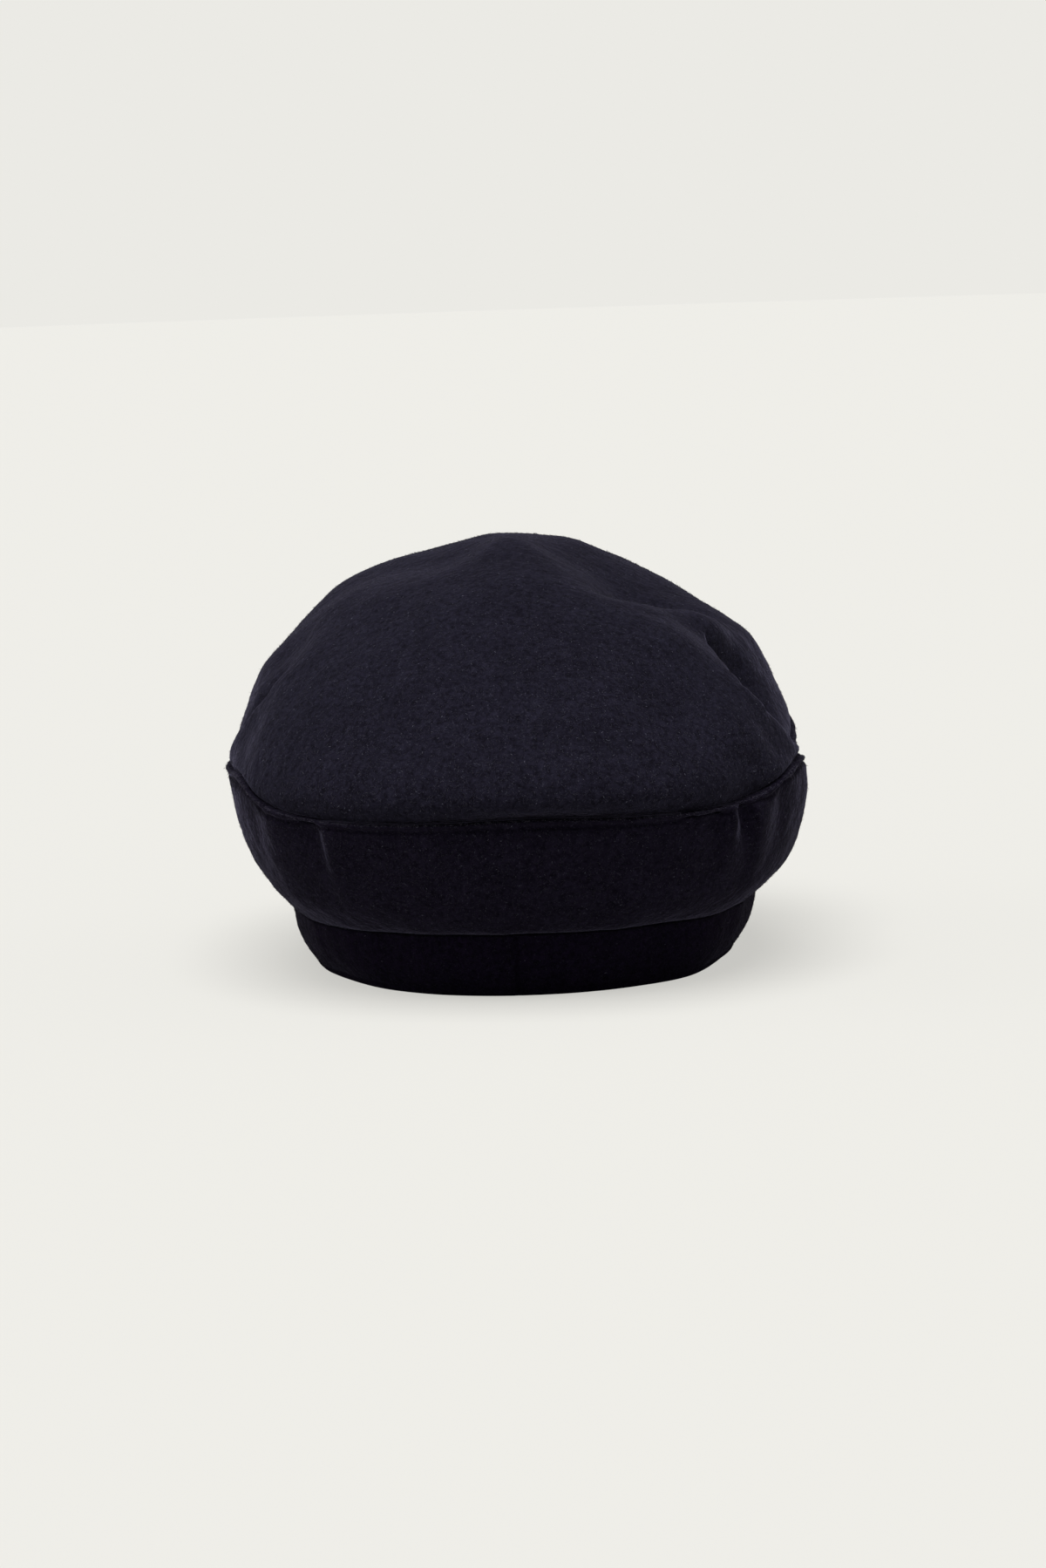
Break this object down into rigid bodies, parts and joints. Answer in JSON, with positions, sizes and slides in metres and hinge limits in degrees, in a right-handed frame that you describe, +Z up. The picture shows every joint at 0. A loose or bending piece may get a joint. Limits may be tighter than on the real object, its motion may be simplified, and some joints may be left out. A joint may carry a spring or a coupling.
{
  "type": "baker boy cap",
  "caption": "Soft black felted wool cap with a full slumped crown, a gathered side ring, a headband and a short stiff peak.",
  "frame": {"origin": "middle of the cap's footprint, on the surface it rests on", "axes": "+Z up out of the crown, the wearer's front and the peak towards -Y, the wearer's left towards +X"},
  "size_m": [0.2204, 0.2723, 0.1596],
  "materials": {
    "crown_wool": "matte",
    "side_wool": "matte",
    "band_wool": "matte",
    "peak_wool": "matte",
    "thread": "satin"
  },
  "bodies": {
    "root": {"crown_top": "crown_wool", "crown_side": "side_wool", "headband": "band_wool", "peak": "peak_wool"}
  },
  "joints": []
}
